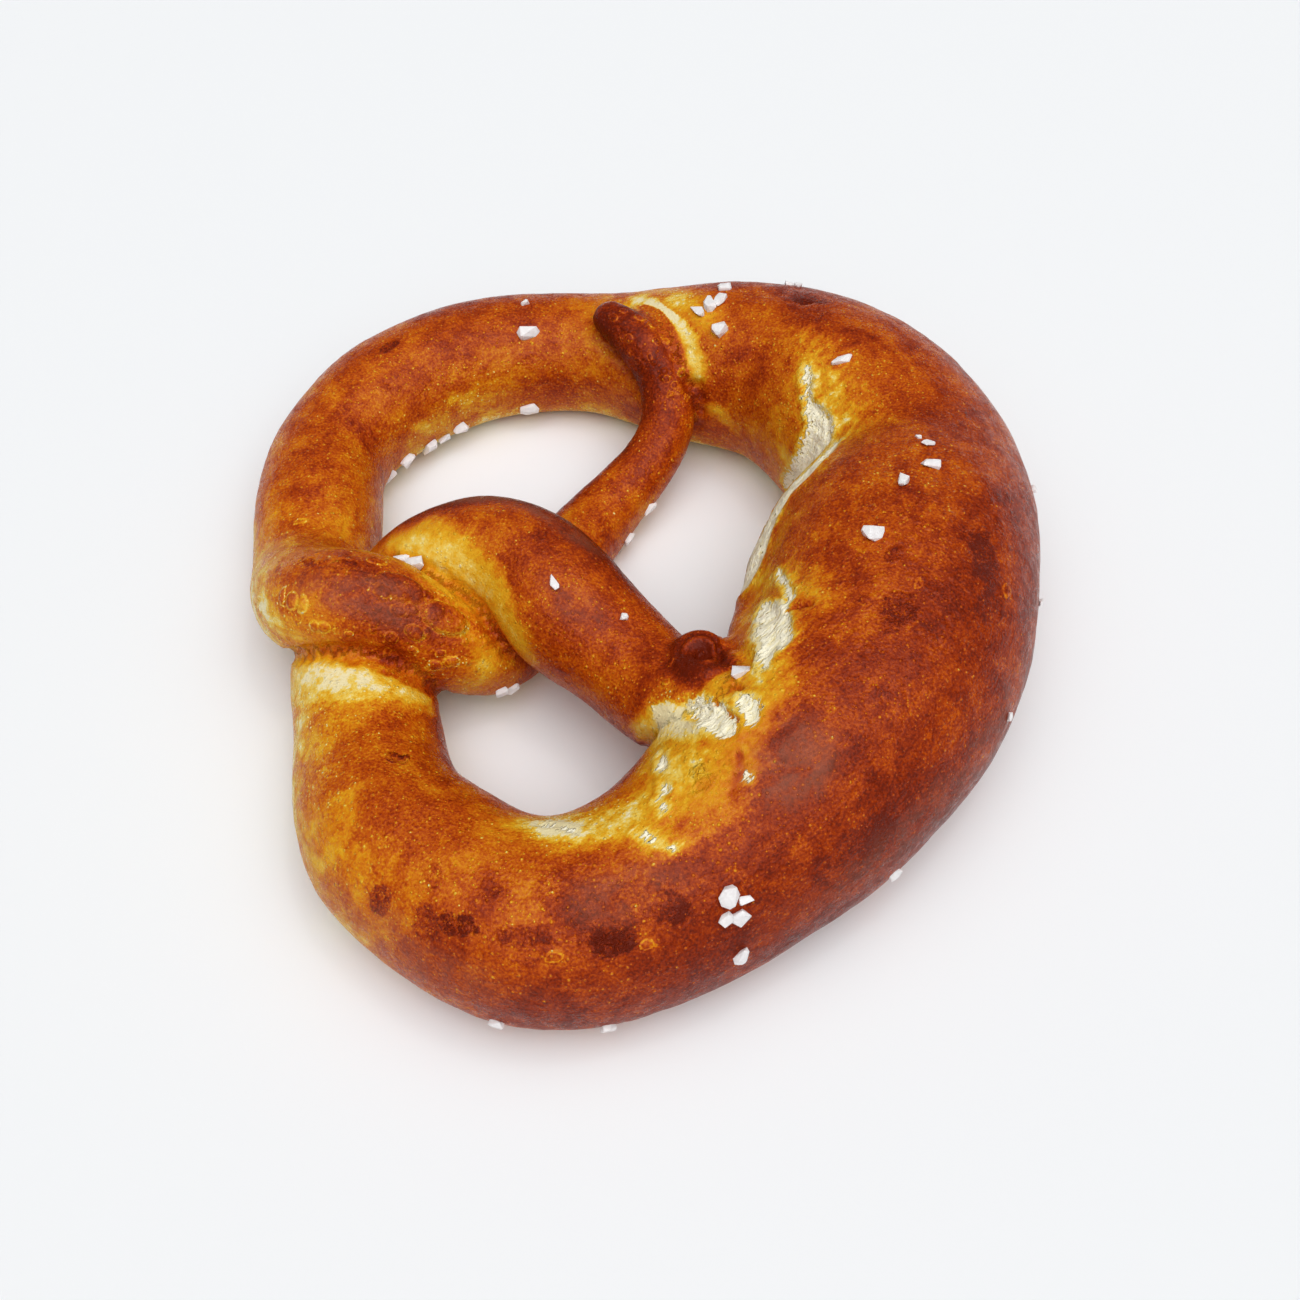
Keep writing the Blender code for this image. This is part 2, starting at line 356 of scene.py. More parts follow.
BIG_BLISTER = 2.5  # half length above which a blister's middle has sunk
# The marks on the crust that its material reads.
FIELDS = "browned tone torn golden gilt fray scorch charring dull bubbly blister".split()
# The dark swirl on the knob's end: its middle, the way it faces, and how far the dimple and the rim reach.
KNOB_END = (9.4, -23.6, 27.4)
KNOB_FACING = (0.1, -0.45, 0.887)
DIMPLE_REACH = 2.0
RIM_REACH = 4.9
# Levels of browning across the knob's end, by the distance from its middle in mm.
KNOB_SHADES = [(0, 1.3), (1.3, 1.2), (2, 0.85), (2.8, 1.05), (3.7, 0.9), (4.6, 0.78), (6, 0.65)]
KNOB_SHADE_MIDDLE = (8.2, -24.2, 27.4)
KNOB_SHADE_REACH = 5.8
KNOB_CLEARING = 8  # mm that the bands stay away from the knob
CURL_STEP = 1.3  # mm between the turns of the swirl
# Depths and rises in mm.
RIM_RISE = 0.5
DIMPLE_DEPTH = 1.5
MOAT_DEPTH = 0.3
CURL_DEPTH = 0.16
CREASE_DEPTH = 1.2
CRACK_DEPTH = 0.6
TEAR_LIP = 0.22
SETTLING = 0.3  # how far the skin sinks all over, to make room for what stands proud
# The crust's unevenness: size and height of the bumps in mm, and a seed.
UNEVENNESS = [(24, 0.35, 1), (9, 0.18, 2), (3.5, 0.08, 3), (1.6, 0.04, 5)]
# Where the belly's inner rim swells out: x, y, z, reach and rise in mm.
SWELLINGS = [
    (24, 9.5, 24, 3.5, 0.8),
    (21.5, 5, 22.5, 3.5, 1),
    (19.5, 0, 21, 3.5, 1.3),
    (18, -4.5, 20, 3.5, 1.4),
    (17.3, -8.8, 20, 3.5, 1.4),
    (16.8, -13, 20.5, 3.5, 1.4),
    (16.5, -17, 22, 3, 1.3),
]
# Where the blunt strand melts into the belly, and the thin tip into the far arm: x, y, z and reach in mm.
WELDS = [
    (13, -33, 28, 8),
    (6, -36, 24, 6),
    (16, -25, 27, 5),
    (0.5, 58.5, 22.5, 4),
    (2.5, 55, 23.5, 4.5),
    (4.5, 52.5, 23.5, 4),
    (7, 49.5, 23.5, 5),
    (9, 44.5, 21.5, 4),
]

# Salt on the crust: mm along the rope, degrees around it, length and width in mm, and the compass angle
# that its length points along, in degrees from +X towards +Y.
SALT = [
    (203, 59, 4.1, 2.3, 0),
    (203, 99, 1.6, 1.4, 20),
    (237, 80, 3, 1.5, -62),
    (239, 86, 3.2, 2.2, -66),
    (240.5, 91, 2.9, 1.8, 60),
    (240.2, 107, 2.4, 1.6, 0),
    (242, 65, 2.6, 2.4, 30),
    (269.5, 70, 3.5, 1.3, 4),
    (300.6, 84.5, 1, 0.8, 0),
    (301.5, 89.5, 2, 1.3, 30),
    (306, 93.5, 2.9, 1.7, 0),
    (311, 84, 2.4, 1.7, 55),
    (320, 77.5, 3.1, 2.5, 20),
    (505.2, 73.6, 2.5, 1.2, -66),
    (518, 96, 1.2, 1.1, 0),
    (351.2, 55, 3.2, 2, 15),
    (478.3, 76, 2.6, 1.1, 0),
    (479.7, 58, 3.8, 2.2, -15),
    (375.3, 134, 2.9, 2.7, 80),
    (372.4, 141, 1.9, 1.5, -10),
    (376.3, 144, 2, 1.5, 60),
    (374.6, 147, 2.5, 2, 60),
    (376, 169.5, 2.6, 1.8, -70),
    (332, 168, 1.3, 1.2, 0),
    (158, -18, 2.6, 1.8, 30),
    (166, -18, 3, 2.2, 30),
    (173, -22, 3, 2.4, 30),
    (177, -22, 2.2, 1.8, 10),
    (182, -18, 2.8, 2.2, 10),
    (201, -18, 3.4, 2.2, 0),
    (37, -168, 2.8, 1.8, 50),
    (45, -165, 2.4, 1.6, 50),
    (82, -160, 2, 1.6, 0),
    (80, -158, 2.4, 1.6, 0),
    (249, 129, 1.6, 1.2, 0),
    (251, 126, 1.4, 1.2, 0),
    (295, 159, 1.6, 1.4, 80),
    (314, 171, 1.6, 1.2, 80),
    (353, -168, 2, 1.4, 45),
    (391, -161, 2.2, 1.6, 0),
    (399, -165, 2, 1.6, 0),
]

RING_CORNERS = 128
RING_STEP = 0.6  # mm
CAP_RINGS = 10
PLACE_STEP = 1.5  # mm between the stations that places on the rope are read from
STRAND_REACH = 45  # mm along the rope, past which it counts as another strand
CHUNK = 4000  # points handled at a time
SKIN_CELL = 0.95 * MM
LATTICE = 32  # corners each way before random bumps repeat
EVEN = 0.5  # weight of a round of smoothing that is the same all over
SETTLING_ROUNDS = 3
CREASE_ROUNDS = 6
WELD_ROUNDS = 60
NORMAL_ROUNDS = 6
FIELD_ROUNDS = 4
CHARRING_ROUNDS = 12
HEADROOM = 1.0  # mm off the highest crust, to keep the salt on it inside the CAD box
SALT_SCALE = 1.08
GRAIN_CORNERS = 15
GRAIN_SQUARENESS = 0.6  # exponent on a grain's corners: lower is boxier
GRAIN_FLATNESS = 0.72  # height as a share of the width
GRAIN_LIFT = 0.16  # height of a grain's middle over the crust, as a share of its width

# Where the skin has a finer mesh, and the finest: x, y, z and reach in mm.
FINE_ZONES = [
    (-46, -11, 24, 10), (-38, -12, 24, 10), (-30, -10, 22, 10), (-22, -13, 18, 8),
    (-52, -18, 15, 7), (-1, 55, 22, 9), (6, 48, 22, 9), (9, -25, 26, 8), (29, 33, 27, 6),
    (29, 24, 24, 8), (25, 12, 26, 7), (20, 2, 23, 6), (21, -11, 29, 8), (19, -22, 32, 8),
    (13, -36, 30, 9), (6, -43, 27, 9), (-8, -54, 25, 8), (-3, -67, 22, 6), (-26, -63, 22, 6),
]
FINEST_ZONES = [
    (-43, -13, 24, 5), (-36, -13, 24, 7), (-30, -12, 21, 5), (0, 54, 22, 7), (29, 24, 24, 5),
    (9, -24, 27, 4.5), (19.5, -20, 31, 5), (11, -37, 30, 5),
]

# Base colours, linear: how brown the crust is, and its colour there.
CRUST_COLOURS = [
    (0.0, (0.84, 0.73, 0.42)),
    (0.05, (0.81, 0.58, 0.11)),
    (0.12, (0.76, 0.41, 0.018)),
    (0.20, (0.69, 0.29, 0.008)),
    (0.30, (0.63, 0.19, 0.005)),
    (0.42, (0.53, 0.115, 0.003)),
    (0.52, (0.47, 0.077, 0.002)),
    (0.60, (0.40, 0.053, 0.002)),
    (0.70, (0.31, 0.034, 0.0015)),
    (0.80, (0.25, 0.022, 0.0012)),
    (1.0, (0.13, 0.010, 0.001)),
]
DULL_AND_SHEEN_COLOUR = (0.34, 0.115, 0.062)
CRUMB_COLOURS = [
    (0.10, (0.66, 0.50, 0.20)),
    (0.32, (0.90, 0.79, 0.46)),
    (0.52, (0.97, 0.91, 0.70)),
]
SALT_COLOURS = [(0.3, (0.80, 0.77, 0.77)), (0.7, (0.90, 0.88, 0.88))]

# The studio in metres: a pale floor under a dome of light that is brightest overhead, a lamp and the camera.
FLOOR_REACH = 3
FLOOR_COLOUR = (0.86, 0.875, 0.89)
LIGHT_FROM = (0.1, -0.3, 1)
DOME = [(0.0, 0.04), (0.55, 0.06), (0.78, 0.35), (0.92, 1.0), (1.0, 1.0)]
DOME_STRENGTH = 2.68
LAMP_PLACE = (0.25, 0.1, 1.2)
LAMP_SIZE = 0.12
LAMP_POWER = 0.5
CAMERA_TARGET = (0.002, -0.013, 0.014)
CAMERA_ELEVATION = 53  # degrees
CAMERA_DISTANCE = 0.235
SENSOR = 36  # mm
FOCAL = 41.54  # mm


def spline(rows, places):
    """A natural cubic spline through the rows, read at places that count along them from 0 to 1."""
    rows = np.array(rows, float)
    gaps = np.linalg.norm(np.diff(rows[:, :3], axis=0), axis=1)
    knots = np.concatenate([[0.0], np.cumsum(gaps)])
    system = np.eye(len(rows))
    slopes = np.diff(rows, axis=0) / gaps[:, None]
    bends = np.zeros_like(rows)
    for i in range(1, len(rows) - 1):
        system[i, i - 1 : i + 2] = gaps[i - 1], 2 * (gaps[i - 1] + gaps[i]), gaps[i]
        bends[i] = 6 * (slopes[i] - slopes[i - 1])
    bends = np.linalg.solve(system, bends)
    at = places * knots[-1]
    i = np.clip(np.searchsorted(knots, at, side="right") - 1, 0, len(gaps) - 1)
    gap = gaps[i][:, None]
    after = (at - knots[i])[:, None]
    before = gap - after
    return (
        (bends[i] * before**3 + bends[i + 1] * after**3) / (6 * gap)
        + (rows[i] / gap - bends[i] * gap / 6) * before
        + (rows[i + 1] / gap - bends[i + 1] * gap / 6) * after
    )


def rope_path(rows, step):
    """Stations along a rope, step mm apart: centres, half widths, and the directions along, aside and up."""
    centres = [(x, y, SAG * half_width + lift, half_width) for x, y, lift, half_width in rows]
    length = sum(np.linalg.norm(np.subtract(a, b)[:3]) for a, b in zip(centres, centres[1:]))
    path = spline(centres, np.linspace(0, 1, int(length / step) + 1))
    along = np.gradient(path[:, :3], axis=0)
    along /= np.linalg.norm(along, axis=1)[:, None]
    aside = np.cross(along, (0, 0, 1))
    aside /= np.linalg.norm(aside, axis=1)[:, None]
    return path[:, :3], path[:, 3], along, aside, np.cross(aside, along)


def rope_marks(centres):
    """How many mm along the rope each station is."""
    return np.concatenate([[0], np.cumsum(np.linalg.norm(np.diff(centres, axis=0), axis=1))])


def section(half_width):
    """The outline of one section, as offsets to the side and upwards."""
    angles = np.linspace(0, 2 * np.pi, RING_CORNERS, endpoint=False)
    side = np.cos(angles)
    up = np.sin(angles)
    power = 2 / BASE_SQUARENESS
    low_side = np.sign(side) * np.abs(side) ** power
    low_up = -np.abs(up) ** power
    above = up >= 0
    depth = SAG * half_width + BAKED_FLAT
    across = half_width * np.where(above, side, low_side)
    height = np.where(above, CROWN * half_width * up, depth * low_up)
    return across, height


def rope_skin(rows):
    """Points and faces of the closed skin of a rope, in mm, with a rounded cap at each end."""
    centres, widths, along, aside, up = rope_path(rows, RING_STEP)
    turns = np.arange(CAP_RINGS, 0, -1) * (np.pi / 2 / (CAP_RINGS + 1))
    stations = [(0, -np.sin(turn), np.cos(turn)) for turn in turns]
    stations += [(i, 0.0, 1.0) for i in range(len(centres))]
    stations += [(-1, np.sin(turn), np.cos(turn)) for turn in turns[::-1]]
    rings = []
    for i, push, share in stations:
        across, height = section(widths[i])
        centre = centres[i] + along[i] * push * widths[i]
        rings.append(centre + share * (across[:, None] * aside[i] + height[:, None] * up[i]))
    corner = np.arange(RING_CORNERS)
    after = np.roll(corner, -1)
    starts = np.arange(len(rings) - 1)[:, None] * RING_CORNERS
    ends = starts + RING_CORNERS
    quads = np.stack([starts + corner, ends + corner, ends + after, starts + after], axis=2)
    last = (len(rings) - 1) * RING_CORNERS
    faces = quads.reshape(-1, 4).tolist() + [corner.tolist(), (last + corner[::-1]).tolist()]
    return np.concatenate(rings), faces


def joined_skin():
    """One even quad mesh around the rope and its knob, in metres."""
    points, faces = rope_skin(ROPE)
    knob_points, knob_faces = rope_skin(KNOB)
    faces += [[corner + len(points) for corner in face] for face in knob_faces]
    raw = bpy.data.meshes.new("raw ropes")
    raw.from_pydata((np.concatenate([points, knob_points]) * MM).tolist(), [], faces)
    holder = bpy.data.objects.new("raw ropes", raw)
    bpy.context.scene.collection.objects.link(holder)
    join = holder.modifiers.new("join", "REMESH")
    join.mode = "VOXEL"
    join.voxel_size = SKIN_CELL
    graph = bpy.context.evaluated_depsgraph_get()
    skin = bpy.data.meshes.new_from_object(holder.evaluated_get(graph))
    bpy.data.objects.remove(holder)
    return skin


def rope_coordinates(points):
    """Where each point lies on the rope: mm along it, degrees around it, mm to the nearest other strand and
    the half width there.

    0 degrees is the side that faces the ring's inside, and 90 is the top.
    """
    centres, widths, along, aside, up = rope_path(ROPE, PLACE_STEP)
    marks = rope_marks(centres)
    crowns = CROWN * widths
    bases = SAG * widths + BAKED_FLAT
    place = np.empty(len(points))
    turn = np.empty(len(points))
    gap = np.empty(len(points))
    for start in range(0, len(points), CHUNK):
        rel = points[start : start + CHUNK, None] - centres
        ahead = np.einsum("pij,ij->pi", rel, along)
        across = np.einsum("pij,ij->pi", rel, aside)
        height = np.einsum("pij,ij->pi", rel, up)
        top = np.hypot(across / widths, height / crowns)
        low = np.abs(across / widths) ** BASE_SQUARENESS + np.abs(height / bases) ** BASE_SQUARENESS
        low = low ** (1 / BASE_SQUARENESS)
        outside = (np.where(height > 0, top, low) - 1) * widths
        miss = np.hypot(outside, ahead)
        nearest = miss.argmin(axis=1)
        row = np.arange(len(rel))
        place[start : start + CHUNK] = marks[nearest] + ahead[row, nearest]
        turn[start : start + CHUNK] = np.degrees(np.arctan2(height[row, nearest], across[row, nearest]))
        same_strand = np.abs(marks - marks[nearest][:, None]) < STRAND_REACH
        gap[start : start + CHUNK] = np.where(same_strand, np.inf, miss).min(axis=1)
    return {"place": place, "turn": turn, "gap": gap, "width": np.interp(place, marks, widths)}


def smoothstep(low, high, value):
    share = np.clip((value - low) / (high - low), 0, 1)
    return share * share * (3 - 2 * share)


def lumps(points, size, seed):
    """Smooth random bumps, from -1 to 1, about size mm across."""
    lattice = np.random.default_rng(seed).uniform(-1, 1, (LATTICE, LATTICE, LATTICE))
    cells = points / size
    corner = np.floor(cells).astype(int)
    part = cells - corner
    part = part * part * (3 - 2 * part)
    total = np.zeros(len(points))
    for step in itertools.product((0, 1), repeat=3):
        share = np.prod(np.where(step, part, 1 - part), axis=1)
        x, y, z = ((corner + step) % LATTICE).T
        total += share * lattice[x, y, z]
    return total


def smoothed(values, edges, weight, rounds):
    """Each vertex's row of values, moved towards its neighbours' average by its weight from 0 to 1."""
    first, second = edges.T
    count = len(values)
    neighbours = np.bincount(edges.ravel(), minlength=count)
    weight = np.broadcast_to(weight, count)
    for _ in range(rounds):
        sums = [
            np.bincount(first, column[second], count) + np.bincount(second, column[first], count)
            for column in values.T
        ]
        values = values + weight[:, None] * (np.stack(sums, axis=1) / neighbours[:, None] - values)
    return values


def band(points, path):
    """How deep each point lies inside a band along the path, in mm, and below 0 outside it."""
    path = np.array(path, float)
    depth = np.full(len(points), -np.inf)
    for start, end in zip(path, path[1:]):
        step = end[:3] - start[:3]
        share = np.clip((points - start[:3]) @ step / (step @ step), 0, 1)
        reach = start[3] + share * (end[3] - start[3])
        away = np.linalg.norm(points - start[:3] - share[:, None] * step, axis=1)
        depth = np.maximum(depth, reach - away)
    return depth


def spot(rope, mm_along, degrees, half_length, half_width):
    """Distance from the middle of an oval spot on the rope: 0 in its middle and 1 at its edge."""
    turned = (rope["turn"] - degrees + 180) % 360 - 180
    ahead = (rope["place"] - mm_along) / half_length
    aside = np.radians(turned) * rope["width"] / half_width
    return np.hypot(ahead, aside)


def vectors(items, name):
    """The named vector of each of a mesh's vertices or normals."""
    values = np.empty(len(items) * 3)
    items.foreach_get(name, values)
    return values.reshape(-1, 3)


def set_points(mesh, points):
    mesh.vertices.foreach_set("co", (points * MM).ravel())
    mesh.update()


def refined(mesh, zones):
    """Splits the faces inside the zones into four."""
    work = bmesh.new()
    work.from_mesh(mesh)
    work.verts.ensure_lookup_table()
    points = vectors(mesh.vertices, "co") / MM
    near = np.zeros(len(points), bool)
    for x, y, z, reach in zones:
        near |= np.linalg.norm(points - (x, y, z), axis=1) < reach
    edges = [edge for edge in work.edges if near[edge.verts[0].index] and near[edge.verts[1].index]]
    bmesh.ops.subdivide_edges(work, edges=edges, cuts=1, use_grid_fill=True)
    work.to_mesh(mesh)
    work.free()
    mesh.update()


def wandering(points, rope):
    """The rope coordinates with a small random shift, for spots and shades with uneven outlines."""
    wander = 1.2 * np.stack([lumps(points, 4, seed) for seed in (11, 12)])
    turn = rope["turn"] + np.degrees(wander[1] / rope["width"])
    return dict(rope, place=rope["place"] + wander[0], turn=turn)


def browning(rope):
    """How brown the crust is at each point, from the rows of BROWNING."""
    rows = np.array(BROWNING)
    inner, top, outer, under = (np.interp(rope["place"], rows[:, 0], column) for column in rows[:, 1:].T)
    side = np.cos(np.radians(rope["turn"])) ** 2
    level = side * np.where(np.abs(rope["turn"]) < 90, inner, outer)
    return level + (1 - side) * np.where(rope["turn"] > 0, top, under)


def toned(rope):
    """How much browner or paler it is all over at each point, from the rows of TONES."""
    tone = np.zeros(len(rope["place"]))
    for *mark, browner in TONES:
        tone += browner * smoothstep(1.35, 0.65, spot(rope, *mark))
    return tone


def strongest(rope, marks):
    """The greatest strength of the marks at each point, fading at their edges."""
    return np.max([much * smoothstep(1.4, 0.6, spot(rope, *mark)) for *mark, much in marks], axis=0)


def deepest(depths, strengths):
    """The depth inside the nearest of several marks at each point, and that mark's strength."""
    depths = np.array(depths)
    return depths.max(axis=0), np.array(strengths)[depths.argmax(axis=0)]


def blistered(rope):
    """The height of the blisters at each point, and how near their middles it is, from 0 to 1.3."""
    height = np.zeros(len(rope["place"]))
    nearness = np.zeros(len(rope["place"]))
    for mm_along, degrees, half_length, half_width, rise in BLISTERS:
        away = spot(rope, mm_along, degrees, half_length, half_width)
        dome = np.sqrt(np.clip(1 - away**2, 0, 1))
        if half_length > BIG_BLISTER:
            dome -= 0.35 * np.exp(-((away / 0.45) ** 2))
        moat = 0.15 * np.exp(-(((away - 1.15) / 0.15) ** 2))
        height = np.where(away < 1.6, np.maximum(height, 0) + rise * (dome - moat), height)
        nearness = np.maximum(nearness, 1.3 - away)
    return height, nearness


def off_axis(points, middle, facing):
    """Distance of each point from a disc's axis, far for points off its plane, and its turn round it."""
    away = points - middle
    rise = away @ facing
    off = np.sqrt(np.maximum((away**2).sum(axis=1) - rise**2, 0))
    return np.where(np.abs(rise) < RIM_REACH, off, 99), np.arctan2(away[:, 1], away[:, 0])


def welding(points):
    """How far each point melts into the strand under it, from 0 to 1."""
    welded = np.zeros(len(points))
    for x, y, z, reach in WELDS:
        away = np.linalg.norm(points - (x, y, z), axis=1)
        welded = np.maximum(welded, smoothstep(reach, 0.4 * reach, away))
    return welded


def crust_marks(points, edges, rope, welded):
    """What lies at each point, by name, from its depth in the tears to its place on the knob."""
    loose = wandering(points, rope)
    bands = [band(points, path) for level, fray, path in BANDS]
    golden, gilt = deepest(bands, [level for level, fray, path in BANDS])
    burns = [1.3 - spot(loose, *mark) for *mark, much in SCORCHES]
    scorch, charring = deepest(burns, [much for *mark, much in SCORCHES])
    blisters, nearness = blistered(rope)
    cracks = smoothstep(-0.5, 0.1, np.max([band(points, path) for path in CRACKS], axis=0))
    off_knob, knob_turn = off_axis(points, KNOB_END, KNOB_FACING)
    off_shades = off_axis(points, KNOB_SHADE_MIDDLE, KNOB_FACING)[0]
    baked_knob = smoothstep(KNOB_SHADE_REACH, 4.2, off_shades)
    curl = np.cos(2 * np.pi * off_knob / CURL_STEP - knob_turn) * smoothstep(RIM_REACH, 2, off_knob)
    # Painted shade: darker where another strand lies close, in the creases, away from the welds.
    crease_shade = smoothstep(1.5, 0.9, rope["gap"]) * (1 - welded)
    foot = smoothstep(9, 1.5, points[:, 2]) * smoothstep(160, 110, np.abs(rope["turn"]))
    browned = browning(loose)
    browned += (np.interp(off_knob, *np.array(KNOB_SHADES).T) - browned) * baked_knob
    return {
        "browned": browned,
        # Painted shade in the creases and cracks, added to the spots browner and paler all over, the knob's
        # swirl and the paler foot.
        "tone": toned(loose) * (1 - baked_knob) + 0.22 * crease_shade + 0.35 * cracks + 0.1 * curl - 0.4 * foot,
        "torn": np.max([band(points, path) for path in TEARS], axis=0),
        "golden": golden - KNOB_CLEARING * baked_knob,
        "gilt": gilt,
        "fray": deepest(bands, [fray for level, fray, path in BANDS])[1],
        "scorch": scorch,
        "charring": smoothed(charring[:, None], edges, EVEN, CHARRING_ROUNDS)[:, 0],
        "dull": strongest(loose, DULL_AND_SHEEN_SPOTS),
        "bubbly": strongest(loose, BUBBLY_SPOTS),
        "blister": nearness,
        "blister height": blisters,
        "cracks": cracks,
        "creases": smoothstep(2.2, 0.9, rope["gap"]) * (1 - welded),
        "off knob": off_knob,
        "curl": curl,
    }


def relief(points, marks):
    """How far outwards each point is pushed, in mm."""
    torn = marks["torn"]
    off_knob = marks["off knob"]
    push = sum(height * lumps(points, size, seed) for size, height, seed in UNEVENNESS) - SETTLING
    push -= CREASE_DEPTH * marks["creases"]
    push += marks["blister height"]
    for x, y, z, reach, rise in SWELLINGS:
        push += rise * np.exp(-((np.linalg.norm(points - (x, y, z), axis=1) / reach) ** 2))
    push -= smoothstep(-0.4, 1.2, torn + 0.5 * lumps(points, 1.8, 21)) * (0.5 + 0.35 * lumps(points, 1.3, 4))
    push += TEAR_LIP * np.exp(-(((torn + 0.8) / 0.5) ** 2))
    push -= CRACK_DEPTH * marks["cracks"]
    push += RIM_RISE * smoothstep(RIM_REACH, RIM_REACH - 1.5, off_knob)
    push -= DIMPLE_DEPTH * smoothstep(DIMPLE_REACH, 0.4, off_knob)
    push -= MOAT_DEPTH * np.exp(-(((off_knob - RIM_REACH - 0.4) / 0.7) ** 2)) + CURL_DEPTH * marks["curl"]
    push -= marks["charring"] * smoothstep(0.1, 0.9, marks["scorch"]) * (1 + 0.8 * lumps(points, 1.4, 6))
    push -= HEADROOM * smoothstep(34, 38.5, points[:, 2])
    return push * (0.15 + 0.85 * smoothstep(0, 2, points[:, 2]))


def crust_mesh():
    """The pretzel's skin with its blisters, tears and creases, and the fields that its material reads."""
    skin = joined_skin()
    refined(skin, FINE_ZONES)
    refined(skin, FINEST_ZONES)
    points = vectors(skin.vertices, "co") / MM
    edges = np.empty(len(skin.edges) * 2, int)
    skin.edges.foreach_get("vertices", edges)
    edges = edges.reshape(-1, 2)
    rope = rope_coordinates(points)
    creased = np.exp(-((rope["gap"] / 1.6) ** 2))
    welded = welding(points)

    points[:, 2] = np.maximum(points[:, 2], 0)
    points = smoothed(points, edges, EVEN, SETTLING_ROUNDS)
    points = smoothed(points, edges, 0.6 * creased, CREASE_ROUNDS)
    points = smoothed(points, edges, 0.6 * welded, WELD_ROUNDS)
    set_points(skin, points)
    outward = smoothed(vectors(skin.vertex_normals, "vector"), edges, EVEN, NORMAL_ROUNDS)

    marks = crust_marks(points, edges, rope, welded)
    points += relief(points, marks)[:, None] * outward
    points[:, 2] = np.maximum(points[:, 2], 0)
    set_points(skin, points)

    values = np.stack([marks[name] for name in FIELDS], axis=1)
    values = smoothed(values, edges, 0.7 * creased, FIELD_ROUNDS)
    for name, column in zip(FIELDS, values.T):
        field = skin.attributes.new(name, "FLOAT", "POINT")
        field.data.foreach_set("value", column.astype(np.float32))
    around = np.radians(rope["turn"])
    across = rope["width"] * np.cos(around), rope["width"] * np.sin(around)
    straight = np.stack([rope["place"], *across], axis=1)
    field = skin.attributes.new("straightened", "FLOAT_VECTOR", "POINT")
    field.data.foreach_set("vector", (straight * MM).astype(np.float32).ravel())
    skin.shade_smooth()
    return skin


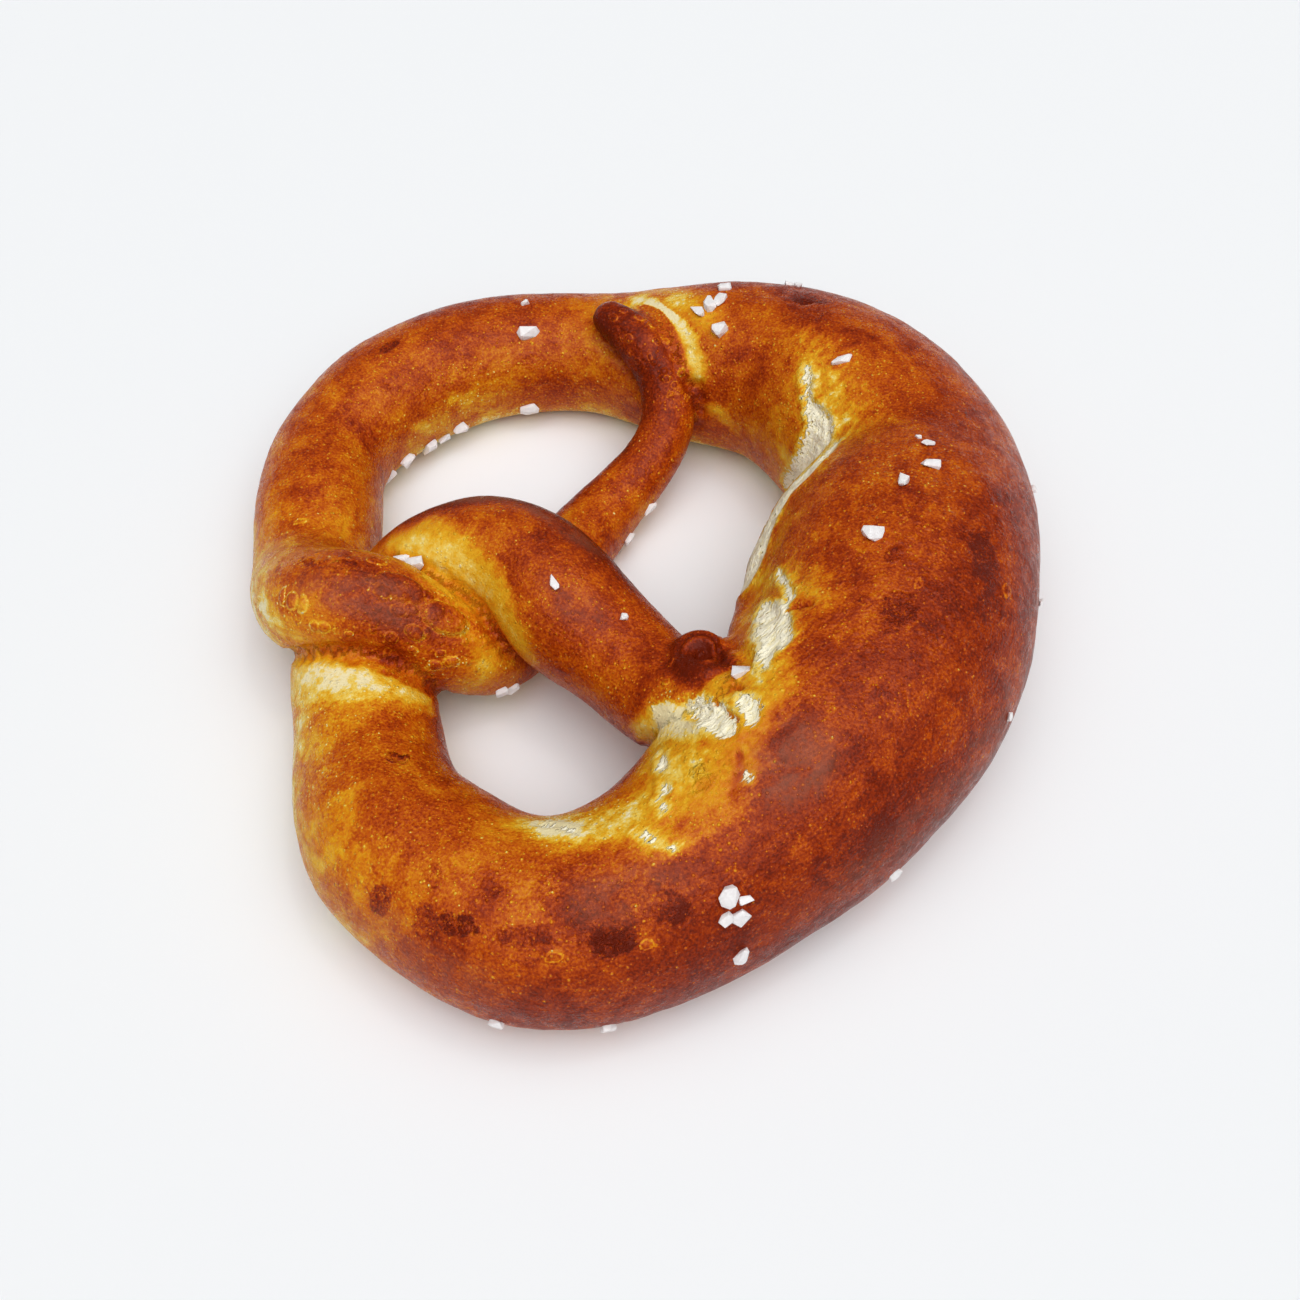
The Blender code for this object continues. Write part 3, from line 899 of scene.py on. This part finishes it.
class Nodes:
    """A material's node tree, with short calls for the nodes that the looks are made of."""

    def __init__(self, name):
        self.material = bpy.data.materials.new(name)
        self.material.use_nodes = True
        self.tree = self.material.node_tree
        self.shader = self.tree.nodes["Principled BSDF"]

    def add(self, kind, **settings):
        node = self.tree.nodes.new("ShaderNode" + kind)
        for name, value in settings.items():
            setattr(node, name, value)
        return node

    def feed(self, socket, value):
        """Links a node's output to a socket, or sets the socket to a plain value."""
        if isinstance(value, bpy.types.NodeSocket):
            self.tree.links.new(value, socket)
        else:
            socket.default_value = value

    def look(self, name, value):
        """Gives the shader's named input a node's output or a plain value."""
        self.feed(self.shader.inputs[name], value)

    def field(self, name, output="Fac"):
        return self.add("Attribute", attribute_name=name).outputs[output]

    def place(self):
        return self.add("TexCoord").outputs["Object"]

    def stretched(self, vector, factors, turn=0):
        """Coordinates in which a texture comes out longer by the factors, along axes turned about Z."""
        node = self.add("Mapping", vector_type="TEXTURE")
        self.feed(node.inputs["Vector"], vector)
        node.inputs["Scale"].default_value = factors
        node.inputs["Rotation"].default_value = (0, 0, np.radians(turn))
        return node.outputs[0]

    def noise(self, vector, size, detail=3, roughness=0.55, distortion=0.0):
        """Noise from 0 to 1 whose lumps are about size mm across."""
        node = self.add("TexNoise")
        self.feed(node.inputs["Vector"], vector)
        node.inputs["Scale"].default_value = 1 / (size * MM)
        node.inputs["Detail"].default_value = detail
        node.inputs["Roughness"].default_value = roughness
        node.inputs["Distortion"].default_value = distortion
        return node.outputs[0]

    def cells(self, vector, spacing, share):
        """Distance in mm from the nearest of scattered points, and 1 round that share of them, or else 0."""
        node = self.add("TexVoronoi")
        self.feed(node.inputs["Vector"], vector)
        node.inputs["Scale"].default_value = 1 / (spacing * MM)
        split = self.add("SeparateColor")
        self.feed(split.inputs[0], node.outputs["Color"])
        chosen = self.math("LESS_THAN", split.outputs[0], share)
        return self.scaled(node.outputs["Distance"], spacing), chosen

    def dots(self, vector, spacing, radius, share):
        """Round dots, 1 in their middles and 0 past their radius, in that share of the cells."""
        away, chosen = self.cells(vector, spacing, share)
        return self.product(self.ramp(away, radius, 0.3 * radius, 0, 1), chosen)

    def rings(self, vector, spacing, radius, share):
        """Rings of that radius, in that share of the cells."""
        away, chosen = self.cells(vector, spacing, share)
        within = self.ramp(away, 1.15 * radius, 0.9 * radius, 0, 1)
        beyond = self.ramp(away, 0.5 * radius, 0.8 * radius, 0, 1)
        return self.product(self.product(within, beyond), chosen)

    def math(self, operation, first, second):
        node = self.add("Math", operation=operation)
        self.feed(node.inputs[0], first)
        self.feed(node.inputs[1], second)
        return node.outputs[0]

    def product(self, first, second):
        return self.math("MULTIPLY", first, second)

    def scaled(self, value, factor, base=0.0):
        node = self.add("Math", operation="MULTIPLY_ADD")
        self.feed(node.inputs[0], value)
        self.feed(node.inputs[1], factor)
        self.feed(node.inputs[2], base)
        return node.outputs[0]

    def total(self, *values):
        result = values[0]
        for value in values[1:]:
            result = self.math("ADD", result, value)
        return result

    def ramp(self, value, low, high, at_low, at_high):
        node = self.add("MapRange", interpolation_type="SMOOTHSTEP")
        for socket, given in zip(node.inputs, (value, low, high, at_low, at_high)):
            self.feed(socket, given)
        return node.outputs[0]

    def colours(self, value, stops):
        node = self.add("ValToRGB")
        self.feed(node.inputs[0], value)
        while len(node.color_ramp.elements) < len(stops):
            node.color_ramp.elements.new(0.5)
        for element, (position, colour) in zip(node.color_ramp.elements, stops):
            element.position = position
            element.color = (*colour, 1)
        return node.outputs[0]

    def blended(self, share, first, second, kind="FLOAT"):
        """The first value where the share is 0, and the second where it is 1."""
        node = self.add("Mix", data_type=kind)
        for name, value in (("Factor", share), ("A", first), ("B", second)):
            self.feed(node.inputs[name], value)
        return node.outputs["Result"]

    def bumps(self, height, depth, under=None):
        """Bumps that are depth mm high where the height is 1."""
        node = self.add("Bump")
        node.inputs["Distance"].default_value = depth * MM
        self.feed(node.inputs["Height"], height)
        if under is not None:
            self.feed(node.inputs["Normal"], under)
        return node.outputs[0]


def crust_material():
    """Lye crust that goes from dough through gold and orange to burnt, and crumb where it is torn."""
    nodes = Nodes("crust")
    place = nodes.place()
    straight = nodes.stretched(nodes.field("straightened", "Vector"), (3, 1, 1))
    across_tears = nodes.stretched(place, (4, 1, 1), 42)

    bubbly = nodes.field("bubbly")
    fray = nodes.field("fray")

    blotches = nodes.noise(place, 9, 3, distortion=0.5)
    mottles = nodes.noise(place, 4.2, 4, distortion=0.6)
    patches = nodes.noise(place, 1.5, 3, distortion=0.4)
    wrinkles = nodes.noise(place, 0.8, 2, distortion=1.5)
    grain = nodes.noise(place, 0.4, 2)
    streaks = nodes.noise(straight, 1.2, 3)
    fringe = nodes.noise(across_tears, 1.5, 3)
    fibres = nodes.noise(across_tears, 0.5, 2)
    specks = nodes.dots(place, 0.6, 0.2, 0.35)
    speckles = nodes.dots(place, 1.1, 0.32, 0.4)
    freckles = nodes.rings(place, 2.0, 0.55, 0.35)
    pores = nodes.dots(place, 4.5, 0.25, 0.3)
    bubbles = nodes.product(nodes.dots(place, 1.7, 0.8, 0.7), bubbly)
    bubble_rims = nodes.product(nodes.rings(place, 1.7, 0.65, 0.7), bubbly)

    level = nodes.total(
        nodes.field("browned"),
        nodes.ramp(blotches, 0.38, 0.62, -0.08, 0.10),
        nodes.ramp(mottles, 0.36, 0.64, -0.07, 0.07),
        nodes.ramp(mottles, 0.58, 0.70, 0, 0.06),
        nodes.scaled(patches, 0.20, -0.10),
        nodes.scaled(streaks, 0.30, -0.15),
    )
    scorch = nodes.total(nodes.field("scorch"), nodes.scaled(patches, 1.0, -0.5))
    charring = nodes.product(nodes.ramp(scorch, 0.12, 0.52, 0, 1), nodes.field("charring"))
    texture = nodes.total(nodes.scaled(patches, 1.6, -0.4), nodes.ramp(wrinkles, 0.40, 0.58, 0, 0.9))
    level = nodes.total(level, nodes.product(charring, texture))

    fringed = nodes.product(fray, nodes.scaled(fringe, 3, -1.5))
    golden = nodes.total(nodes.field("golden"), fringed)
    gilt = nodes.total(
        nodes.field("gilt"),
        nodes.ramp(golden, 0.4, 3.4, 0.07, -0.02),
        nodes.product(fray, nodes.scaled(patches, 0.20, -0.10)),
        nodes.product(fray, nodes.scaled(mottles, 0.16, -0.08)),
    )
    halo = nodes.math("DIVIDE", golden, fray)
    level = nodes.blended(nodes.ramp(halo, -1.5, -0.2, 0, 1), level, nodes.scaled(gilt, 1, 0.12))
    level = nodes.blended(nodes.ramp(golden, -0.4, 0.6, 0, 1), level, gilt)

    depth = nodes.total(nodes.field("torn"), nodes.scaled(nodes.total(fibres, fringe), 2.6, -2.6))
    level = nodes.blended(nodes.ramp(depth, -1.5, 0.0, 0, 0.85), level, 0.02)

    blister = nodes.field("blister")
    rim = nodes.product(nodes.ramp(blister, 0.10, 0.22, 0, 1), nodes.ramp(blister, 0.34, 0.6, 1, 0))
    marks = nodes.total(
        nodes.scaled(grain, 0.9, -0.42),
        nodes.scaled(specks, -0.32),
        nodes.scaled(speckles, -0.32),
        nodes.scaled(freckles, -0.09),
        nodes.scaled(pores, 0.35),
        nodes.scaled(rim, -0.28),
        nodes.scaled(bubble_rims, -0.18),
    )
    marks = nodes.product(marks, nodes.ramp(level, 0.12, 0.5, 0.15, 1))
    # This adds painted shade along the creases and cracks to the browner and paler spots.
    level = nodes.total(level, nodes.field("tone"), marks)
    crust_colour = nodes.colours(level, CRUST_COLOURS)
    # Matt pinkish patches: the skin's own bloom, with a painted sheen of reflected light on the lower outer
    # flanks.
    dull = nodes.product(nodes.field("dull"), nodes.ramp(mottles, 0.38, 0.58, 0.2, 1))
    crust_colour = nodes.blended(dull, crust_colour, (*DULL_AND_SHEEN_COLOUR, 1), "RGBA")

    torn = nodes.ramp(depth, -0.15, 0.25, 0, 1)
    # Painted shade: the crumb is darker in its holes, the pits that shade falls in.
    holes = nodes.dots(place, 1.2, 0.35, 0.35)
    crumb_colour = nodes.colours(nodes.total(fibres, nodes.scaled(holes, -0.30)), CRUMB_COLOURS)
    nodes.look("Base Color", nodes.blended(torn, crust_colour, crumb_colour, "RGBA"))

    gloss = nodes.total(nodes.ramp(patches, 0.4, 0.6, 0.22, 0.42), nodes.scaled(torn, 0.4))
    nodes.look("Roughness", gloss)
    nodes.look("Specular IOR Level", 0.12)

    skin_relief = nodes.total(
        nodes.scaled(specks, 0.4),
        nodes.scaled(speckles, 0.5),
        nodes.scaled(bubbles, 1.6),
        nodes.scaled(grain, 0.6),
        nodes.scaled(mottles, 1.0),
        nodes.scaled(streaks, 0.7),
        nodes.product(charring, nodes.scaled(wrinkles, 6)),
    )
    relief = nodes.bumps(skin_relief, 0.24)
    crumb_relief = nodes.total(nodes.scaled(fibres, 1.4), nodes.scaled(holes, -1.2))
    crumb_relief = nodes.product(crumb_relief, torn)
    nodes.look("Normal", nodes.bumps(crumb_relief, 0.25, relief))
    return nodes.material


def salt_material():
    """Coarse white salt, a little clear at its edges."""
    nodes = Nodes("salt")
    place = nodes.place()
    frost = nodes.noise(place, 0.8, 3)
    nodes.look("Base Color", nodes.colours(frost, SALT_COLOURS))
    nodes.look("Roughness", nodes.scaled(frost, 0.3, 0.3))
    nodes.look("Subsurface Weight", 0.3)
    nodes.look("Subsurface Radius", (0.002, 0.002, 0.002))
    nodes.look("Subsurface Scale", 0.5)
    nodes.look("Normal", nodes.bumps(nodes.noise(place, 0.5, 2), 0.08))
    return nodes.material


def salt_grain(work, draw, length, width):
    """Adds one broken crystal, centred on the origin and long along X, and returns its vertices."""
    corners = draw.normal(size=(GRAIN_CORNERS, 3))
    corners /= np.linalg.norm(corners, axis=1)[:, None]
    corners = np.sign(corners) * np.abs(corners) ** GRAIN_SQUARENESS
    corners -= (corners.max(axis=0) + corners.min(axis=0)) / 2
    corners *= (length, width, GRAIN_FLATNESS * width) / np.ptp(corners, axis=0)
    loose = [work.verts.new(corner) for corner in corners]
    hull = bmesh.ops.convex_hull(work, input=loose)
    unused = hull["geom_interior"] + hull["geom_unused"]
    inside = {part for part in unused if isinstance(part, bmesh.types.BMVert)}
    bmesh.ops.delete(work, geom=list(inside), context="VERTS")
    return [vertex for vertex in loose if vertex.is_valid]


def salt_mesh(skin):
    """All the salt as one mesh, each grain bedded in the crust."""
    draw = np.random.default_rng(5)
    centres, widths, along, sideways, up = rope_path(ROPE, PLACE_STEP)
    marks = rope_marks(centres)
    tree = BVHTree.FromPolygons(
        vectors(skin.vertices, "co").tolist(), [tuple(face.vertices) for face in skin.polygons]
    )
    work = bmesh.new()
    for mm_along, degrees, length, width, heading in SALT:
        station = int(np.searchsorted(marks, mm_along))
        turn = np.radians(degrees)
        outward = np.cos(turn) * sideways[station] + np.sin(turn) * up[station]
        hit, normal, face, distance = tree.ray_cast(Vector(centres[station] * MM), Vector(outward))
        grain = salt_grain(work, draw, SALT_SCALE * length, SALT_SCALE * width)
        ahead = Vector((np.cos(np.radians(heading)), np.sin(np.radians(heading)), 0))
        aside = normal.cross(ahead).normalized()
        lie = Matrix((aside.cross(normal), aside, normal)).transposed().to_4x4()
        lift = Matrix.Translation(hit + normal * width * GRAIN_LIFT * MM)
        bmesh.ops.transform(work, matrix=lift @ lie @ Matrix.Scale(MM, 4), verts=grain)
    mesh = bpy.data.meshes.new("salt")
    work.to_mesh(mesh)
    work.free()
    return mesh


def add_piece(name, mesh, material):
    piece = bpy.data.objects.new(name, mesh)
    bpy.context.scene.collection.objects.link(piece)
    mesh.materials.clear()
    mesh.materials.append(material)
    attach(piece, "root")
    return piece


def add_floor():
    work = bmesh.new()
    bmesh.ops.create_grid(work, x_segments=1, y_segments=1, size=FLOOR_REACH)
    mesh = bpy.data.meshes.new("floor")
    work.to_mesh(mesh)
    work.free()
    floor = bpy.data.objects.new("floor", mesh)
    bpy.context.scene.collection.objects.link(floor)
    nodes = Nodes("floor")
    nodes.look("Base Color", (*FLOOR_COLOUR, 1))
    nodes.look("Roughness", 0.8)
    nodes.look("Specular IOR Level", 0.1)
    mesh.materials.append(nodes.material)


def add_light():
    """A pale dome that is brightest overhead, and a small lamp for the glints."""
    world = bpy.data.worlds.new("studio")
    world.use_nodes = True
    tree = world.node_tree
    direction = tree.nodes.new("ShaderNodeTexCoord")
    overhead = tree.nodes.new("ShaderNodeVectorMath")
    overhead.operation = "DOT_PRODUCT"
    overhead.inputs[1].default_value = Vector(LIGHT_FROM).normalized()
    glow = tree.nodes.new("ShaderNodeValToRGB")
    for position, brightness in DOME:
        element = glow.color_ramp.elements.new(position)
        element.color = (brightness, brightness, brightness, 1)
    glow.color_ramp.elements.remove(glow.color_ramp.elements[0])
    glow.color_ramp.elements.remove(glow.color_ramp.elements[-1])
    tree.links.new(direction.outputs["Generated"], overhead.inputs[0])
    tree.links.new(overhead.outputs["Value"], glow.inputs[0])
    tree.links.new(glow.outputs[0], tree.nodes["Background"].inputs["Color"])
    tree.nodes["Background"].inputs["Strength"].default_value = DOME_STRENGTH
    bpy.context.scene.world = world

    lamp_data = bpy.data.lights.new("lamp", "AREA")
    lamp_data.shape = "DISK"
    lamp_data.size = LAMP_SIZE
    lamp_data.energy = LAMP_POWER
    lamp = bpy.data.objects.new("lamp", lamp_data)
    lamp.location = LAMP_PLACE
    lamp.rotation_euler = (-Vector(LAMP_PLACE)).to_track_quat("-Z", "Y").to_euler()
    bpy.context.scene.collection.objects.link(lamp)


def add_camera():
    data = bpy.data.cameras.new("camera")
    data.sensor_width = SENSOR
    data.lens = FOCAL
    data.clip_start = 0.01
    camera = bpy.data.objects.new("camera", data)
    slope = np.radians(CAMERA_ELEVATION)
    away = Vector((0, -np.cos(slope), np.sin(slope))) * CAMERA_DISTANCE
    camera.location = Vector(CAMERA_TARGET) + away
    camera.rotation_euler = (-away).to_track_quat("-Z", "Y").to_euler()
    bpy.context.scene.collection.objects.link(camera)
    bpy.context.scene.camera = camera


crust = crust_mesh()
pretzel = add_piece("crust", crust, crust_material())
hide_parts("pretzel")
salt = add_piece("salt", salt_mesh(crust), salt_material())
add_floor()
add_light()
add_camera()
bpy.context.scene.view_settings.view_transform = "Standard"
